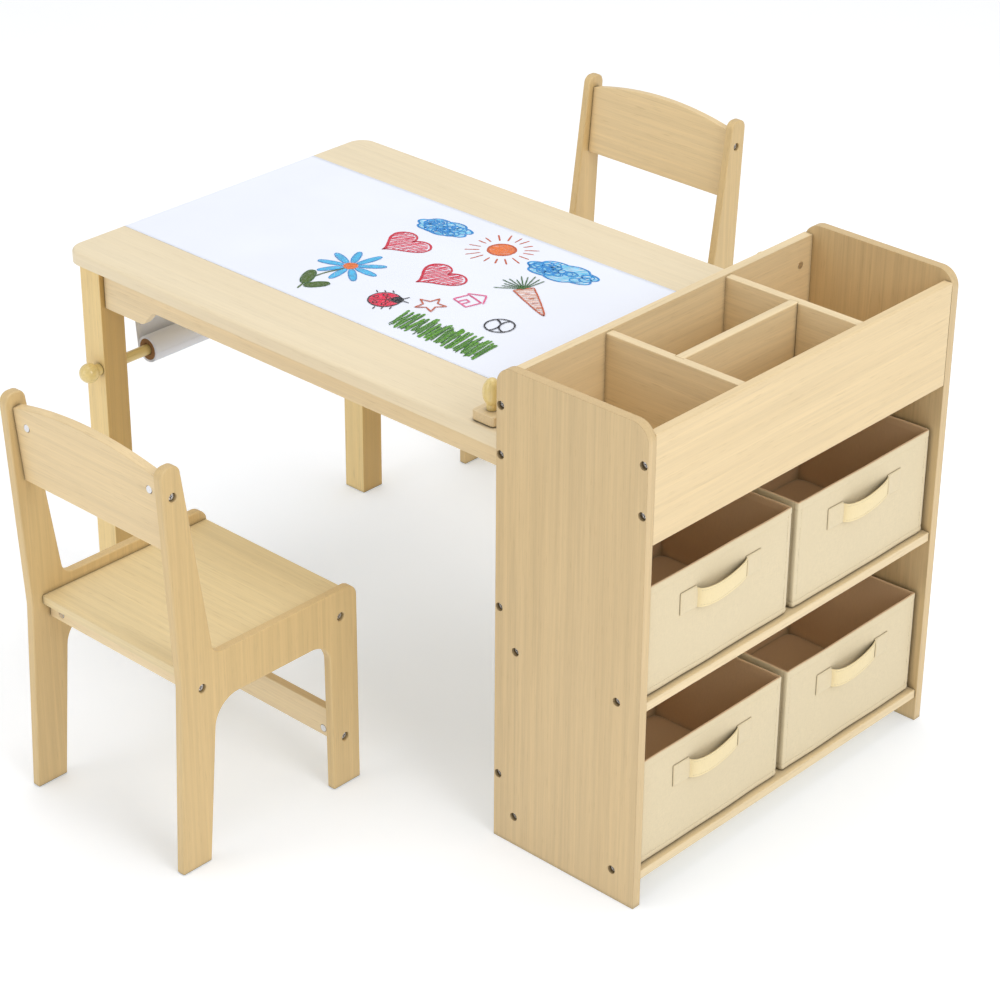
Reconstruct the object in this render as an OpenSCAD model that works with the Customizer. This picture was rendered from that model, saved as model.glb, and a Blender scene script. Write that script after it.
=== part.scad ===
// Kids art table with a storage shelf at one end, a paper roll, four fabric bins and two chairs.
// Layout frame: X runs from the roll end to the shelf unit, Y from the front chair to the back
// chair, Z up. x = 0 is the back of the shelf unit and y = 0 its front side panel's outer face;
// every node is then shifted so that the origin is under the middle of the whole set.

/* [Shelf unit] */
// Height of the two side panels
shelf_h = 610; // [590:5:640]
// Width over the side panels, along Y
shelf_w = 550; // [540:5:600]
// Depth of the side panels, along X
shelf_d = 214; // [205:1:260]
// Thickness of the panels and boards
panel_t = 12; // [10:0.5:15]
// Radius of the side panels' top corners
panel_r = 22; // [5:1:30]
// Height of the two long tray boards
tray_h = 132; // [120:1:150]
// Drop of the tray boards below the side panels' top
tray_drop = 13; // [5:1:20]
// Thickness of the tray floor
floor_t = 5; // [4:0.5:6]
// Top face of the bottom shelf
low_shelf_z = 44.5; // [40:0.5:60]
// Top face of the middle shelf
mid_shelf_z = 268; // [255:1:275]
// Height of the rails behind the bins
rail_h = 86; // [60:1:100]
// Distance of the cross dividers from the side panels' outer faces
divider_y = 164; // [140:1:180]
// Distance of the long divider from the back of the unit
divider_x = 104; // [90:1:120]

/* [Table] */
// Height of the tabletop
top_z = 515; // [500:5:530]
// Length of the tabletop
top_l = 750; // [720:5:900]
// Width of the tabletop
top_w = 521; // [515:1:535]
// Thickness of the tabletop
top_t = 18; // [16:1:22]
// Radius of the tabletop's free corners
top_r = 25; // [15:1:40]
// Radius of the rounded top edge
edge_r = 5; // [3:0.5:8]
// Side of the square legs
leg_w = 37; // [35:1:40]
// Inset of the legs from the tabletop's end
leg_in_x = 8.5; // [6:0.5:20]
// Inset of the legs from the tabletop's sides
leg_in_y = 16; // [10:0.5:20]
// Height of the aprons
apron_h = 37; // [35:1:50]
// Height of the aprons next to the legs
apron_end_h = 59; // [55:1:70]
// Setback of the aprons behind the legs' faces
apron_in = 7; // [4:0.5:10]

/* [Paper] */
// Width of the paper
paper_w = 330; // [250:5:360]
// Thickness of the paper
paper_t = 0.4; // [0.3:0.1:0.6]
// Outer radius of the paper roll
roll_r = 17.8; // [14:0.1:20]
// Outer radius of the cardboard core
core_r = 14.4; // [9:0.1:16]
// Height of the roll's axis
roll_z = 352.5; // [320:0.5:400]
// Distance of the roll's axis from the tabletop's end
roll_in = 35; // [32:0.5:38]
// Radius of the wooden dowel through the roll
rod_r = 7; // [5:0.5:7.5]
// Radius of the balls on the dowel's ends
ball_r = 12.9; // [10:0.1:14]

/* [Clamp] */
// Width of the clamp bar, along X
bar_w = 34; // [28:1:40]
// Thickness of the clamp bar
bar_t = 12; // [10:0.5:15]
// Distance of the bar from the shelf unit
bar_gap = 25; // [20:1:30]
// Distance of the clamp knobs from the shelf unit's sides
knob_in = 38; // [34:1:45]
// Height of the clamp knobs
knob_h = 38; // [30:1:42]

/* [Bins] */
// Width of a bin
bin_w = 254; // [240:1:256]
// Depth of a bin
bin_d = 190; // [180:1:192]
// Height of a bin
bin_h = 138; // [120:1:145]
// Thickness of the lined fabric
fabric_t = 3; // [2:0.5:4]
// Length of a handle strap with its sewn ends
strap_l = 140; // [120:1:160]
// Width of a handle strap
strap_w = 24; // [20:1:30]
// How far a handle strap bows out
strap_bow = 18; // [15:1:22]

/* [Chairs] */
// Width over the side panels
chair_w = 272; // [260:1:300]
// Depth from the rear foot to the front foot
chair_d = 283; // [280:1:300]
// Height of the posts
chair_h = 524.5; // [510:0.5:540]
// Top face of the seat
seat_z = 256; // [250:1:260]
// Height of the side panels beside the seat
arm_z = 270; // [265:1:275]
// Gap from the tabletop to the front chair
front_chair_gap = 37; // [10:1:100]
// Gap from the tabletop to the back chair
back_chair_gap = 110; // [10:0.5:200]
// Distance of the front chair's right side from the shelf unit
front_chair_x = 199; // [40:1:380]
// Distance of the back chair's left side from the shelf unit
back_chair_x = 400; // [40:1:410]

/* [Hidden] */
$fn = 48;

// Colours
WOOD = [0.88, 0.80, 0.63];
PAPER = [0.97, 0.97, 0.99];
STEEL = [0.35, 0.35, 0.36];
FABRIC = [0.90, 0.83, 0.68];
CARD = [0.55, 0.42, 0.30];

// Clearances: for moving pieces, for pins in bores, and under the paper
gap = 0.3;
run = 0.1;
paper_lift = 0.05;

// Shelf unit
side_in = panel_t;                       // inner face of the front side panel
side_out = shelf_w - panel_t;            // inner face of the back side panel
tray_top = shelf_h - tray_drop;
tray_low = tray_top - tray_h;
floor_z = tray_low + 2;                  // underside of the tray floor
groove = 5;                              // depth of the tray floor's grooves
dado = 3;                                // depth of the dividers' grooves
divider_top = tray_top - 2;
fascia_x = shelf_d - panel_t;
shelf_len = shelf_d - 2;
shelf_bolt_x = 31;                       // shelf bolts, from the front and back edges

// Table
top_y = (shelf_w - top_w) / 2;
top_end = -top_l;
under = top_z - top_t;
leg_x = top_end + leg_in_x;
leg_ys = [top_y + leg_in_y, shelf_w - top_y - leg_in_y - leg_w];
apron_ys = [leg_ys[0] + apron_in, leg_ys[1] + leg_w - apron_in - panel_t];
roll_x = top_end + roll_in;
paper_y = (shelf_w - paper_w) / 2;

// Clamp
bar_x = -bar_gap - bar_w / 2;
bar_z = top_z + paper_lift + paper_t + gap;
bar_end = 22;                            // bar's ends, from the shelf unit's sides
clamp_ys = [knob_in, shelf_w - knob_in];
screw_r = 3;
screw_in_knob = 12;
insert_r = 4;
insert_l = 12;

// Bins: [row, column]
bin_x = panel_t + gap + 2.5;
bin_bay = (side_out - side_in) / 2;
bin_zs = [low_shelf_z + gap, mid_shelf_z + gap];
bin_front = bin_x + bin_d;
strap_t = 1.6;

// Fasteners: connector bolts and barrel nuts
head_r = 4.9;
head_h = 2;
head_in = 4;                             // heads lie this far below the surface
head_bore_r = 5.2;
recess_l = 2.6;                          // cross recess: half its length, half its width, depth
recess_w = 0.6;
recess_h = 1.2;
shank_r = 2.5;
hole_r = shank_r + run;
shank_l = 40;
nut_r = 4.5;
nut_l = 11;
nut_in = 20.5;                           // nut's centre, from the end of its board
JOIN_Z = under + top_t / 2;

// Chairs, in a chair's own frame: x from the sitter's left, y from the rear foot to the front
foot = 43.5;
arch_z = 208;
lean = 5.4;                              // backrest's tilt, in degrees
back_low = 412.5;                        // backrest's lower edge
back_h = 95.5;                           // backrest's height at its ends
back_rise = 15;                          // arch of the backrest's top edge
back_y = 21.6;                           // backrest's middle at its lower edge
rail_t = 20;                             // height of the seat rails
rail_ys = [42.5, 257];
stretcher_y = 260;
stretcher_z = [57, 97];
back_bolt_z = 487;
stretcher_bolt_z = 67;
front_chair_y = top_y - front_chair_gap - chair_d;
back_chair_y = shelf_w - top_y + back_chair_gap + chair_d;

// Origin of the whole set
origin_x = (bin_front + strap_bow + strap_t + top_end - paper_lift - paper_t) / 2;
origin_y = (front_chair_y + back_chair_y) / 2;

// ---- shared shapes ----

module set_frame() translate([-origin_x, -origin_y, 0]) children();

module block(lo, hi) translate(lo) cube(hi - lo);

// Turns a corner list [x, y, radius] into an outline whose corners are arcs
function unit(v) = v / norm(v);
function corner_arc(a, p, b, r) = let(
        u = unit([a.x - p.x, a.y - p.y]), w = unit([b.x - p.x, b.y - p.y]),
        half = acos(u * w) / 2, reach = r / tan(half),
        start = [p.x, p.y] + u * reach, end = [p.x, p.y] + w * reach,
        c = [p.x, p.y] + unit(u + w) * (r / sin(half)),
        a0 = atan2(start.y - c.y, start.x - c.x), a1 = atan2(end.y - c.y, end.x - c.x),
        turn = (a1 - a0 + 540) % 360 - 180, n = max(2, ceil(abs(turn) / 9)))
    [for (i = [0 : n]) c + r * [cos(a0 + turn * i / n), sin(a0 + turn * i / n)]];
function rounded(pts) = let(n = len(pts)) [for (i = [0 : n - 1])
    each pts[i].z > 0 ? corner_arc(pts[(i + n - 1) % n], pts[i], pts[(i + 1) % n], pts[i].z)
                      : [[pts[i].x, pts[i].y]]];

// Outline of a strip of thickness t that follows a path
function path_normal(p, i) = let(
        d = unit(p[min(i + 1, len(p) - 1)] - p[max(i - 1, 0)])) [-d.y, d.x];
function strip(p, t) = concat([for (i = [0 : len(p) - 1]) p[i] + path_normal(p, i) * t / 2],
    [for (i = [len(p) - 1 : -1 : 0]) p[i] - path_normal(p, i) * t / 2]);

// An outline in X and Z, extruded along Y; one in Y and Z, extruded along X
module along_y(y0, y1) translate([0, y1, 0]) rotate([90, 0, 0]) linear_extrude(y1 - y0) children();
module along_x(x0, x1) translate([x0, 0, 0]) rotate([90, 0, 90]) linear_extrude(x1 - x0) children();

// A bolt that enters a board at z = 0 and points along +Z, with a sunk head and a cross recess
module bolt() difference() {
    union() {
        translate([0, 0, head_in]) cylinder(h = head_h, r1 = head_r * 0.85, r2 = head_r);
        cylinder(h = shank_l, r = shank_r);
    }
    for (a = [0, 90]) rotate([0, 0, a])
        block([-recess_l, -recess_w, -1], [recess_l, recess_w, head_in + recess_h]);
    translate([0, 0, -1]) cylinder(h = head_in + 1, r = head_r + 1);
}
module bolt_bore() {
    translate([0, 0, -1]) cylinder(h = shank_l + 2, r = hole_r);
    translate([0, 0, -1]) cylinder(h = head_in + head_h + 1, r = head_bore_r);
}

// Barrel nut: `open` turns +Z to the face it was put in from, `screw` turns +Z to the bolt's axis
module nut(open, screw) difference() {
    rotate(open) translate([0, 0, -5]) cylinder(h = nut_l, r = nut_r);
    rotate(screw) cylinder(h = 30, r = hole_r, center = true);
}
module nut_bore(open) rotate(open) translate([0, 0, -5.05]) cylinder(h = 30, r = nut_r + 0.05);

TO_X = [0, 90, 0];
TO_MINUS_X = [0, -90, 0];
TO_Y = [-90, 0, 0];
TO_MINUS_Y = [90, 0, 0];
TO_DOWN = [180, 0, 0];

// ---- shelf unit ----

// Where bolts enter the side panels: [x, z, direction that the barrel nut was put in from]
back_board_bolts = [for (z = [tray_low + 38, tray_low + 98]) [panel_t / 2, z, TO_X]];
fascia_bolts = [for (z = [tray_low + 38, tray_low + 98]) [fascia_x + panel_t / 2, z, TO_MINUS_X]];
rail_bolts = [for (z = [low_shelf_z, mid_shelf_z]) [panel_t / 2, z + rail_h / 2, TO_X]];
shelf_bolt_points = [for (z = [low_shelf_z, mid_shelf_z], x = [shelf_bolt_x, shelf_len - shelf_bolt_x])
    [x, z - panel_t / 2, TO_DOWN]];
side_bolts = concat(back_board_bolts, fascia_bolts, rail_bolts, shelf_bolt_points);

module on_both_sides(points) for (p = points) {
    translate([p[0], 0, p[1]]) rotate(TO_Y) children();
    translate([p[0], shelf_w, p[1]]) rotate(TO_MINUS_Y) children();
}
module side_nuts(points) for (p = points, y = [side_in + nut_in, side_out - nut_in])
    translate([p[0], y, p[1]]) nut(p[2], TO_Y);
module side_nut_bores(points) for (p = points, y = [side_in + nut_in, side_out - nut_in])
    translate([p[0], y, p[1]]) nut_bore(p[2]);

// Bolts that hold the table to the shelf unit: [y, z, direction of the nut's opening]
joints_to_table = concat(
    [for (y = [60, 205, shelf_w - 205, shelf_w - 60]) [y, JOIN_Z, TO_DOWN]],
    [[apron_ys[0] + panel_t / 2, tray_low + 19, TO_Y],
     [apron_ys[1] + panel_t / 2, tray_low + 19, TO_MINUS_Y]]);
module join_axes() for (p = joints_to_table) translate([panel_t, p[0], p[1]]) rotate(TO_MINUS_X) children();

module tray_floor_shape(extra = 0) block(
    [panel_t - groove, side_in - groove, floor_z],
    [fascia_x + groove, side_out + groove, floor_z + floor_t]);
module cross_divider(y) block(
    [panel_t - dado, y, floor_z + floor_t], [fascia_x + dado, y + panel_t, divider_top]);
module long_divider_shape() block(
    [divider_x, divider_y + panel_t - dado, floor_z + floor_t],
    [divider_x + panel_t, shelf_w - divider_y - panel_t + dado, divider_top]);
module both_cross_dividers() {
    cross_divider(divider_y);
    cross_divider(shelf_w - divider_y - panel_t);
}

module side_panel(y) color(WOOD) set_frame() difference() {
    along_y(y, y + panel_t) polygon(rounded([
        [0, 0, 0], [shelf_d, 0, 0], [shelf_d, shelf_h, panel_r], [0, shelf_h, panel_r]]));
    on_both_sides(side_bolts) bolt_bore();
    tray_floor_shape();
}
module side_panel_front() side_panel(0);
module side_panel_back() side_panel(side_out);

// A board between the side panels, bored for its bolts and barrel nuts
module cross_board(x0, x1, z0, z1, points) difference() {
    block([x0, side_in, z0], [x1, side_out, z1]);
    on_both_sides(points) bolt_bore();
    side_nut_bores(points);
}
module back_board() color(WOOD) set_frame() difference() {
    cross_board(0, panel_t, tray_low, tray_top, back_board_bolts);
    tray_floor_shape();
    both_cross_dividers();
    join_axes() bolt_bore();
}
module front_fascia() color(WOOD) set_frame() difference() {
    cross_board(fascia_x, shelf_d, tray_low, tray_top, fascia_bolts);
    tray_floor_shape();
    both_cross_dividers();
}
module back_rail_upper() color(WOOD) set_frame()
    cross_board(0, panel_t, mid_shelf_z, mid_shelf_z + rail_h, [rail_bolts[1]]);
module back_rail_lower() color(WOOD) set_frame()
    cross_board(0, panel_t, low_shelf_z, low_shelf_z + rail_h, [rail_bolts[0]]);
module shelf_middle() color(WOOD) set_frame() cross_board(0, shelf_len, mid_shelf_z - panel_t,
    mid_shelf_z, [shelf_bolt_points[2], shelf_bolt_points[3]]);
module shelf_bottom() color(WOOD) set_frame() cross_board(0, shelf_len, low_shelf_z - panel_t,
    low_shelf_z, [shelf_bolt_points[0], shelf_bolt_points[1]]);
module tray_floor() color(WOOD) set_frame() tray_floor_shape();
module divider_front() color(WOOD) set_frame() difference() {
    cross_divider(divider_y);
    long_divider_shape();
}
module divider_back() color(WOOD) set_frame() difference() {
    cross_divider(shelf_w - divider_y - panel_t);
    long_divider_shape();
}
module divider_long() color(WOOD) set_frame() long_divider_shape();
module shelf_bolts() color(STEEL) set_frame() on_both_sides(side_bolts) bolt();
module barrel_nuts() color(STEEL) set_frame() {
    side_nuts(side_bolts);
    for (p = joints_to_table) translate([-nut_in, p[0], p[1]]) nut(p[2], TO_X);
}
module joining_bolts() color(STEEL) set_frame() join_axes() bolt();

// ---- table ----

module clamp_axes() for (y = clamp_ys) translate([bar_x, y, 0]) children();

// Tabletop's edge, as distances from the centre of a corner's arc and heights above the underside
edge_profile = concat([[0, 0], [top_r, 0]],
    [for (a = [0 : 15 : 90]) [top_r - edge_r, top_t - edge_r] + edge_r * [cos(a), sin(a)]],
    [[0, top_t]]);
// A block with a rounded top edge on three sides, square where it meets the shelf unit
module rounded_top() {
    front = top_y + top_r;
    back = shelf_w - top_y - top_r;
    left = top_end + top_r;
    block([left, front, under], [0, back, top_z]);
    along_x(left, 0) {
        polygon([for (p = edge_profile) [front - p.x, under + p.y]]);
        polygon([for (p = edge_profile) [back + p.x, under + p.y]]);
    }
    along_y(front, back) polygon([for (p = edge_profile) [left - p.x, under + p.y]]);
    translate([left, front, under]) rotate([0, 0, 180]) rotate_extrude(angle = 90) polygon(edge_profile);
    translate([left, back, under]) rotate([0, 0, 90]) rotate_extrude(angle = 90) polygon(edge_profile);
}
module tabletop() color(WOOD) set_frame() difference() {
    rounded_top();
    join_axes() bolt_bore();
    for (p = joints_to_table) if (p[1] == JOIN_Z) translate([-nut_in, p[0], p[1]]) nut_bore(p[2]);
    clamp_axes() {
        translate([0, 0, under - 1]) cylinder(h = top_t + 2, r = screw_r + run);
        translate([0, 0, under - 1]) cylinder(h = insert_l + 1, r = insert_r + 0.05);
    }
}

// Apron: shallow along its length, deeper beside the leg
apron_deep = 72;
module apron_outline() polygon(rounded([
    [leg_x + leg_w, under, 0], [leg_x + leg_w, under - apron_end_h, 0],
    [leg_x + leg_w + apron_deep, under - apron_end_h, 12],
    [leg_x + leg_w + apron_deep + 20, under - apron_h, 12],
    [0, under - apron_h, 0], [0, under, 0]]));
module apron(i) color(WOOD) set_frame() difference() {
    along_y(apron_ys[i], apron_ys[i] + panel_t) apron_outline();
    join_axes() bolt_bore();
    for (p = joints_to_table) if (p[1] != JOIN_Z) translate([-nut_in, p[0], p[1]]) nut_bore(p[2]);
    dowels(0.05);
}
module apron_front() apron(0);
module apron_back() apron(1);
module end_rail() color(WOOD) set_frame() difference() {
    block([leg_x + apron_in, leg_ys[0] + leg_w, under - apron_end_h],
          [leg_x + apron_in + panel_t, leg_ys[1], under]);
    dowels(0.05);
}
module leg(i) color(WOOD) set_frame() difference() {
    block([leg_x, leg_ys[i], 0], [leg_x + leg_w, leg_ys[i] + leg_w, under]);
    translate([roll_x, leg_ys[i] - 1, roll_z]) rotate(TO_Y) cylinder(h = leg_w + 2, r = rod_r + run);
    dowels(0.05);
}
module leg_front() leg(0);
module leg_back() leg(1);

// Wooden dowels between the legs and the rails, two in each joint
dowel_r = 3;
dowel_l = 24;
dowel_zs = [under - 14, under - apron_end_h + 14];
module dowels(extra) for (z = dowel_zs) {
    for (y = apron_ys) translate([leg_x + leg_w - dowel_l / 2, y + panel_t / 2, z])
        rotate(TO_X) cylinder(h = dowel_l, r = dowel_r + extra);
    for (y = [leg_ys[0] + leg_w, leg_ys[1]]) translate([leg_x + apron_in + panel_t / 2, y - dowel_l / 2,
        z + 7]) rotate(TO_Y) cylinder(h = dowel_l, r = dowel_r + extra);
}
module table_dowels() color(WOOD) set_frame() dowels(0);

// ---- paper and roll ----

wrap_z = under - 0.5;                    // where the paper bends in below the tabletop
paper_mid = paper_lift + paper_t / 2;    // from the wood to the middle of the paper
paper_end = 13;                          // the sheet's free end, from the shelf unit
module paper_sheet() color(PAPER) set_frame() along_y(paper_y, paper_y + paper_w) polygon(strip(concat(
    [[-paper_end, top_z + paper_mid]],
    [for (a = [90 : 15 : 180]) [top_end + edge_r, top_z - edge_r]
        + (edge_r + paper_mid) * [cos(a), sin(a)]],
    [[top_end - paper_mid, wrap_z],
     [roll_x - roll_r - gap - paper_t / 2, roll_z + 3]]), paper_t));

module on_roll_axis(y) translate([roll_x, y, roll_z]) rotate(TO_Y) children();
module tube(l, r_out, r_in) difference() {
    cylinder(h = l, r = r_out);
    translate([0, 0, -1]) cylinder(h = l + 2, r = r_in);
}
ball_y = leg_ys[0] - 17;                 // centre of the front ball
module roll_rod() color(WOOD) set_frame() on_roll_axis(ball_y)
    cylinder(h = shelf_w - 2 * ball_y, r = rod_r);
ball_neck = 16.7;                        // end of a ball's neck, from the ball's centre
module ball() difference() {
    union() {
        sphere(r = ball_r);
        cylinder(h = ball_neck, r = rod_r + 1);
    }
    cylinder(h = 30, r = rod_r + 0.03);
}
module roll_knobs() color(WOOD) set_frame() {
    on_roll_axis(ball_y) ball();
    on_roll_axis(shelf_w - ball_y) rotate([180, 0, 0]) ball();
}
module roll_core() color(CARD) set_frame() on_roll_axis(paper_y) tube(paper_w, core_r, rod_r + 1);
module paper_roll() color(PAPER) set_frame() on_roll_axis(paper_y)
    tube(paper_w, roll_r, core_r + 0.05);

// ---- clamp ----

module clamp_bar() color(WOOD) set_frame() difference() {
    translate([bar_x - bar_w / 2, bar_end, bar_z]) linear_extrude(bar_t) polygon(rounded([
        [0, 0, 5], [bar_w, 0, 5], [bar_w, shelf_w - 2 * bar_end, 5], [0, shelf_w - 2 * bar_end, 5]]));
    for (y = clamp_ys) translate([bar_x, y, bar_z - 1]) cylinder(h = bar_t + 2, r = screw_r + 0.5);
}
knob_z = bar_z + bar_t + gap;
module clamp_bolt(i) color(STEEL) set_frame() translate([bar_x, clamp_ys[i], under + 1])
    cylinder(h = knob_z + screw_in_knob - under - 1, r = screw_r);
// Egg-shaped knob on a short foot
module clamp_knob(i) color(WOOD) set_frame() translate([bar_x, clamp_ys[i], knob_z]) difference() {
    rotate_extrude() polygon(concat([[0, 0], [6.5, 0], [6.5, 4]],
        [for (a = [-55 : 7.25 : 90]) [11 * cos(a), knob_h / 2 + 2 + (knob_h / 2 - 2) * sin(a)]]));
    translate([0, 0, -1]) cylinder(h = screw_in_knob + 1.1, r = screw_r + 0.03);
}
module clamp_bolt_front() clamp_bolt(0);
module clamp_bolt_back() clamp_bolt(1);
module clamp_knob_front() clamp_knob(0);
module clamp_knob_back() clamp_knob(1);
// Threaded inserts, flush with the tabletop's underside
module clamp_inserts() color(STEEL) set_frame() clamp_axes() translate([0, 0, under])
    tube(insert_l, insert_r, screw_r + run);

// ---- bins ----

module at_bin(row, column) translate([bin_x, side_in + (column + 0.5) * bin_bay, bin_zs[row]]) children();
module bin_shell(row, column) color(FABRIC) set_frame() at_bin(row, column) difference() {
    block([0, -bin_w / 2, 0], [bin_d, bin_w / 2, bin_h]);
    block([fabric_t, -bin_w / 2 + fabric_t, fabric_t], [bin_d - fabric_t, bin_w / 2 - fabric_t, bin_h + 1]);
}
module bin_base(row, column) color(CARD) set_frame() at_bin(row, column) block(
    [fabric_t + 1, -bin_w / 2 + fabric_t + 1, fabric_t],
    [bin_d - fabric_t - 1, bin_w / 2 - fabric_t - 1, fabric_t + 3]);
strap_free = 88;                         // length of strap that isn't sewn down
strap_z = 95;                            // height of the strap's middle in the bin
function strap_x(y) = strap_t / 2
    + (abs(y) < strap_free / 2 ? strap_bow * (1 + cos(360 * y / strap_free)) / 2 : 0);
module bin_handle(row, column) color(FABRIC) set_frame() at_bin(row, column)
    translate([bin_d, 0, strap_z - strap_w / 2]) linear_extrude(strap_w) polygon(strip(concat(
        [[strap_t / 2, -strap_l / 2]],
        [for (i = [-12 : 12]) let(y = i * strap_free / 24) [strap_x(y), y]],
        [[strap_t / 2, strap_l / 2]]), strap_t));
module bin_upper_front() bin_shell(1, 0);
module bin_upper_front_base() bin_base(1, 0);
module bin_upper_front_handle() bin_handle(1, 0);
module bin_upper_back() bin_shell(1, 1);
module bin_upper_back_base() bin_base(1, 1);
module bin_upper_back_handle() bin_handle(1, 1);
module bin_lower_front() bin_shell(0, 0);
module bin_lower_front_base() bin_base(0, 0);
module bin_lower_front_handle() bin_handle(0, 0);
module bin_lower_back() bin_shell(0, 1);
module bin_lower_back_base() bin_base(0, 1);
module bin_lower_back_handle() bin_handle(0, 1);

// ---- chairs ----

// The front chair faces +Y and the back chair faces -Y
module front_chair() set_frame() translate([-front_chair_x - chair_w, front_chair_y, 0]) children();
module back_chair() set_frame() translate([-back_chair_x, back_chair_y, 0]) rotate([0, 0, 180]) children();

// Where bolts enter a chair's sides: [y, z]
function back_mid_y(z) = back_y - tan(lean) * (z - back_low);
seat_rail_z = seat_z - panel_t - rail_t / 2;
chair_bolt_points = [[back_mid_y(back_bolt_z), back_bolt_z], [rail_ys[0], seat_rail_z],
    [rail_ys[1], seat_rail_z], [stretcher_y, stretcher_bolt_z]];
module chair_bolt_axes() for (p = chair_bolt_points) {
    translate([0, p[0], p[1]]) rotate(TO_X) children();
    translate([chair_w, p[0], p[1]]) rotate(TO_MINUS_X) children();
}
// Barrel nuts: the backrest's open to the rear, square to the tilted board
module chair_nut_places() for (i = [0 : 3], x = [panel_t + nut_in, chair_w - panel_t - nut_in])
    translate([x, chair_bolt_points[i][0], chair_bolt_points[i][1]])
        rotate([i == 0 ? -lean : 0, 0, 0]) rotate(TO_MINUS_Y) children();

module chair_side(x) color(WOOD) difference() {
    along_x(x, x + panel_t) polygon(rounded([
        [0, 0, 2], [foot, 0, 2], [62, arch_z, 36], [chair_d - 45, arch_z, 28],
        [chair_d - foot, 0, 2], [chair_d, 0, 2], [chair_d, arm_z, 16], [61, arm_z, 16],
        [25, chair_h, 12], [-3, chair_h, 12], [12, 246, 60]]));
    chair_bolt_axes() bolt_bore();
}
module chair_left_side() chair_side(0);
module chair_right_side() chair_side(chair_w - panel_t);

back_arc_r = (pow(chair_w / 2 - panel_t, 2) + pow(back_rise, 2)) / (2 * back_rise);
module backrest_outline() let(half = chair_w / 2 - panel_t, a = asin(half / back_arc_r))
    polygon(concat([[-half, 0]],
        [for (i = [-12 : 12]) [back_arc_r * sin(a * i / 12), back_h + back_rise - back_arc_r
            + back_arc_r * cos(a * i / 12)]], [[half, 0]]));
module chair_backrest() color(WOOD) difference() {
    translate([chair_w / 2, back_y, back_low]) rotate([90 + lean, 0, 0])
        translate([0, 0, -panel_t / 2]) linear_extrude(panel_t) backrest_outline();
    chair_bolt_axes() bolt_bore();
    chair_nut_places() nut_bore([0, 0, 0]);
}
module chair_seat() color(WOOD)
    block([panel_t, 27, seat_z - panel_t], [chair_w - panel_t, chair_d - 2, seat_z]);
module chair_seat_rails() color(WOOD) difference() {
    for (y = rail_ys) block([panel_t, y - panel_t / 2, seat_z - panel_t - rail_t],
        [chair_w - panel_t, y + panel_t / 2, seat_z - panel_t]);
    chair_bolt_axes() bolt_bore();
    for (i = [1, 2], x = [panel_t + nut_in, chair_w - panel_t - nut_in])
        translate([x, rail_ys[i - 1], seat_rail_z]) nut_bore(TO_MINUS_Y);
}
module chair_stretcher() color(WOOD) difference() {
    block([panel_t, stretcher_y - panel_t / 2, stretcher_z[0]],
        [chair_w - panel_t, stretcher_y + panel_t / 2, stretcher_z[1]]);
    chair_bolt_axes() bolt_bore();
    for (x = [panel_t + nut_in, chair_w - panel_t - nut_in])
        translate([x, stretcher_y, stretcher_bolt_z]) nut_bore(TO_MINUS_Y);
}
module chair_bolts() color(STEEL) {
    chair_bolt_axes() bolt();
    difference() {
        chair_nut_places() translate([0, 0, -5]) cylinder(h = nut_l, r = nut_r);
        chair_bolt_axes() bolt_bore();
    }
}
module front_chair_left_side() front_chair() chair_left_side();
module front_chair_right_side() front_chair() chair_right_side();
module front_chair_backrest() front_chair() chair_backrest();
module front_chair_seat() front_chair() chair_seat();
module front_chair_seat_rails() front_chair() chair_seat_rails();
module front_chair_stretcher() front_chair() chair_stretcher();
module front_chair_bolts() front_chair() chair_bolts();
module back_chair_left_side() back_chair() chair_left_side();
module back_chair_right_side() back_chair() chair_right_side();
module back_chair_backrest() back_chair() chair_backrest();
module back_chair_seat() back_chair() chair_seat();
module back_chair_seat_rails() back_chair() chair_seat_rails();
module back_chair_stretcher() back_chair() chair_stretcher();
module back_chair_bolts() back_chair() chair_bolts();

tabletop();
apron_front();
apron_back();
end_rail();
leg_front();
leg_back();
table_dowels();
side_panel_front();
side_panel_back();
back_board();
back_rail_upper();
back_rail_lower();
front_fascia();
tray_floor();
divider_front();
divider_back();
divider_long();
shelf_middle();
shelf_bottom();
shelf_bolts();
barrel_nuts();
joining_bolts();
clamp_inserts();
paper_sheet();
roll_rod();
roll_knobs();
paper_roll();
roll_core();
clamp_bar();
clamp_bolt_front();
clamp_knob_front();
clamp_bolt_back();
clamp_knob_back();
bin_upper_front();
bin_upper_front_base();
bin_upper_front_handle();
bin_upper_back();
bin_upper_back_base();
bin_upper_back_handle();
bin_lower_front();
bin_lower_front_base();
bin_lower_front_handle();
bin_lower_back();
bin_lower_back_base();
bin_lower_back_handle();
front_chair_left_side();
front_chair_right_side();
front_chair_backrest();
front_chair_seat();
front_chair_seat_rails();
front_chair_stretcher();
front_chair_bolts();
back_chair_left_side();
back_chair_right_side();
back_chair_backrest();
back_chair_seat();
back_chair_seat_rails();
back_chair_stretcher();
back_chair_bolts();
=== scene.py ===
"""Looks of a child's art table with a shelf unit of fabric bins and two chairs.

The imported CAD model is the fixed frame. The boards, dowels, knobs and bolts keep their CAD shapes and
get softened edges and procedural materials. The paper, its roll, the drawing and the fabric bins are
modelled here, in metres, from the boxes of the CAD nodes that they replace.
"""

import math
import random

import bmesh
import bpy
from mathutils import Matrix, Vector, noise


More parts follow.
